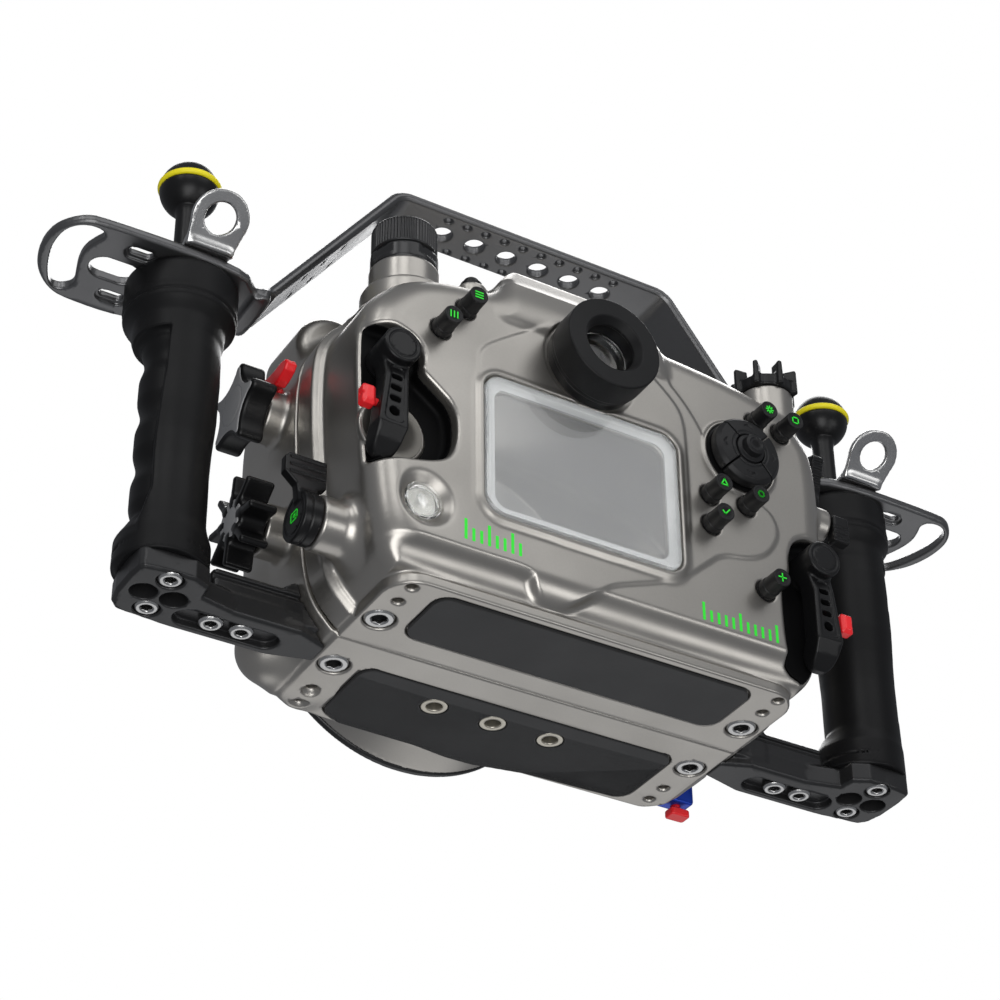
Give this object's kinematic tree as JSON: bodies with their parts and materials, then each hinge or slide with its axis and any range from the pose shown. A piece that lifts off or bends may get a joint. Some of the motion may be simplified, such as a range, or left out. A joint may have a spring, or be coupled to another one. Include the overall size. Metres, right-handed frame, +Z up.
{
  "type": "underwater camera housing",
  "caption": "Sealed two-part camera housing with side grips, an arched top bar with ball mounts, rear display window, eyepiece, latches, buttons, dials and levers.",
  "frame": {"origin": "on the ground under the front pad, 20 mm in front of the seam, on the housing's mid plane", "axes": "-Y towards the display and the user, +Y towards the lens port, +Z up, +X to the user's right"},
  "size_m": [0.445, 0.1771, 0.2351],
  "materials": {
    "anodised": "hard anodised, matt warm grey",
    "black_metal": "black anodised",
    "black_plastic": "moulded, satin",
    "key_plastic": "matt with a printed mark",
    "cup_rubber": "matt",
    "yellow_rubber": "smooth",
    "red_plastic": "smooth",
    "blue_metal": "blue anodised",
    "stainless": "bright",
    "insert_metal": "pale anodised",
    "clear": "polished",
    "nylon": "moulded",
    "board": "circuit board"
  },
  "bodies": {
    "front_half": {"front_shell": "anodised", "port_ring": "black_metal", "port_lock_base": "blue_metal", "bridge": "black_metal", "grip_left": "black_plastic", "grip_right": "black_plastic", "foot_left": "black_metal", "foot_right": "black_metal", "foot_screws": "stainless", "ball_posts": "black_plastic", "ball_orings": "yellow_rubber", "hook_brackets": "stainless", "base_screws_front": "stainless", "front_pad": "cup_rubber", "tripod_inserts": "insert_metal", "main_oring": "cup_rubber", "tray": "black_plastic", "tray_screw": "stainless", "knob_glands": "black_metal"},
    "rear_half": {"rear_shell": "anodised", "window": "clear", "window_seal": "cup_rubber", "eyepiece": "black_metal", "eye_lens": "clear", "eyecup": "cup_rubber", "rear_pad": "cup_rubber", "base_screws_rear": "stainless", "button_glands": "black_metal", "pad_base": "black_plastic", "valve_ring": "black_metal", "sync_plug": "black_plastic", "status_lens": "clear", "leak_board": "board"},
    "button_1": {"button_1": "key_plastic"},
    "button_2": {"button_2": "key_plastic"},
    "button_3": {"button_3": "key_plastic"},
    "button_4": {"button_4": "key_plastic"},
    "button_5": {"button_5": "key_plastic"},
    "button_6": {"button_6": "key_plastic"},
    "button_7": {"button_7": "key_plastic"},
    "button_8": {"button_8": "key_plastic"},
    "key_up": {"key_up": "key_plastic"},
    "key_right": {"key_right": "key_plastic"},
    "key_down": {"key_down": "key_plastic"},
    "key_left": {"key_left": "key_plastic"},
    "key_centre": {"key_centre": "key_plastic"},
    "latch_left": {"latch_left": "black_plastic"},
    "latch_right": {"latch_right": "black_plastic"},
    "latch_lock_left": {"latch_lock_left": "red_plastic"},
    "latch_lock_right": {"latch_lock_right": "red_plastic"},
    "valve_cap": {"valve_cap": "black_plastic"},
    "crown_dial": {"crown_dial": "black_plastic"},
    "lobed_knob": {"lobed_knob": "black_plastic"},
    "star_knob": {"star_knob": "black_plastic", "star_gear": "nylon"},
    "thumb_lever": {"thumb_lever": "black_plastic"},
    "focus_lever": {"focus_lever": "black_plastic"},
    "shutter_lever": {"shutter_lever": "black_plastic"},
    "lens_release": {"lens_release": "red_plastic"},
    "port_lock_button": {"port_lock_button": "red_plastic"}
  },
  "joints": [
    {"name": "rear_open", "type": "slide", "parent": "front_half", "child": "rear_half", "axis": [0, -1, 0], "range_m": [0, 0.06]},
    {"name": "button_1_move", "type": "slide", "parent": "rear_half", "child": "button_1", "axis": [0, 1, 0], "range_m": [0, 0.0022], "stiffness_N_per_m": 900},
    {"name": "button_2_move", "type": "slide", "parent": "rear_half", "child": "button_2", "axis": [0, 1, 0], "range_m": [0, 0.0022], "stiffness_N_per_m": 900},
    {"name": "button_3_move", "type": "slide", "parent": "rear_half", "child": "button_3", "axis": [0, 1, 0], "range_m": [0, 0.0022], "stiffness_N_per_m": 900},
    {"name": "button_4_move", "type": "slide", "parent": "rear_half", "child": "button_4", "axis": [0, 1, 0], "range_m": [0, 0.0022], "stiffness_N_per_m": 900},
    {"name": "button_5_move", "type": "slide", "parent": "rear_half", "child": "button_5", "axis": [0, 1, 0], "range_m": [0, 0.0022], "stiffness_N_per_m": 900},
    {"name": "button_6_move", "type": "slide", "parent": "rear_half", "child": "button_6", "axis": [0, 1, 0], "range_m": [0, 0.0022], "stiffness_N_per_m": 900},
    {"name": "button_7_move", "type": "slide", "parent": "rear_half", "child": "button_7", "axis": [0, 1, 0], "range_m": [0, 0.0022], "stiffness_N_per_m": 900},
    {"name": "button_8_move", "type": "slide", "parent": "rear_half", "child": "button_8", "axis": [0, 1, 0], "range_m": [0, 0.0022], "stiffness_N_per_m": 900},
    {"name": "key_up_move", "type": "slide", "parent": "rear_half", "child": "key_up", "axis": [0, 1, 0], "range_m": [0, 0.0015], "stiffness_N_per_m": 1100},
    {"name": "key_right_move", "type": "slide", "parent": "rear_half", "child": "key_right", "axis": [0, 1, 0], "range_m": [0, 0.0015], "stiffness_N_per_m": 1100},
    {"name": "key_down_move", "type": "slide", "parent": "rear_half", "child": "key_down", "axis": [0, 1, 0], "range_m": [0, 0.0015], "stiffness_N_per_m": 1100},
    {"name": "key_left_move", "type": "slide", "parent": "rear_half", "child": "key_left", "axis": [0, 1, 0], "range_m": [0, 0.0015], "stiffness_N_per_m": 1100},
    {"name": "key_centre_move", "type": "slide", "parent": "rear_half", "child": "key_centre", "axis": [0, 1, 0], "range_m": [0, 0.0015], "stiffness_N_per_m": 1100},
    {"name": "latch_left_move", "type": "hinge", "parent": "rear_half", "child": "latch_left", "pos_m": [-0.0985, -0.07, 0.0966], "axis": [0, 1, 0], "range_deg": [0, 90]},
    {"name": "latch_right_move", "type": "hinge", "parent": "rear_half", "child": "latch_right", "pos_m": [0.0975, -0.07, 0.0626], "axis": [0, 1, 0], "range_deg": [-90, 0]},
    {"name": "latch_lock_left_move", "type": "slide", "parent": "latch_left", "child": "latch_lock_left", "axis": [1, 0, 0], "range_m": [0, 0.0018], "stiffness_N_per_m": 900},
    {"name": "latch_lock_right_move", "type": "slide", "parent": "latch_right", "child": "latch_lock_right", "axis": [-1, 0, 0], "range_m": [0, 0.0018], "stiffness_N_per_m": 900},
    {"name": "valve_cap_move", "type": "hinge", "parent": "rear_half", "child": "valve_cap", "pos_m": [-0.076, -0.04, 0.1806], "axis": [0, 0, 1], "continuous": true},
    {"name": "crown_dial_move", "type": "hinge", "parent": "rear_half", "child": "crown_dial", "pos_m": [0.0938, -0.0569, 0.1606], "axis": [0, 0, 1], "continuous": true},
    {"name": "lobed_knob_move", "type": "hinge", "parent": "front_half", "child": "lobed_knob", "pos_m": [-0.125, -0.0035, 0.1053], "axis": [1, 0, 0], "continuous": true},
    {"name": "star_knob_move", "type": "hinge", "parent": "front_half", "child": "star_knob", "pos_m": [-0.125, -0.0065, 0.0481], "axis": [1, 0, 0], "continuous": true},
    {"name": "thumb_lever_move", "type": "hinge", "parent": "rear_half", "child": "thumb_lever", "pos_m": [-0.12, -0.0475, 0.0282], "axis": [1, 0, 0], "range_deg": [-15, 15], "stiffness_Nm_per_rad": 0.8},
    {"name": "focus_lever_move", "type": "hinge", "parent": "rear_half", "child": "focus_lever", "pos_m": [0.118, -0.058, 0.0986], "axis": [1, 0, 0], "range_deg": [-12, 12], "stiffness_Nm_per_rad": 0.8},
    {"name": "shutter_lever_move", "type": "hinge", "parent": "rear_half", "child": "shutter_lever", "pos_m": [0.118, -0.047, 0.1176], "axis": [1, 0, 0], "range_deg": [-10, 10], "stiffness_Nm_per_rad": 0.8},
    {"name": "lens_release_move", "type": "hinge", "parent": "front_half", "child": "lens_release", "pos_m": [-0.118, -0.001, 0.1209], "axis": [1, 0, 0], "range_deg": [-20, 0], "stiffness_Nm_per_rad": 0.8},
    {"name": "port_lock_button_move", "type": "slide", "parent": "front_half", "child": "port_lock_button", "axis": [0, 0, 1], "range_m": [0, 0.0018], "stiffness_N_per_m": 1200}
  ]
}
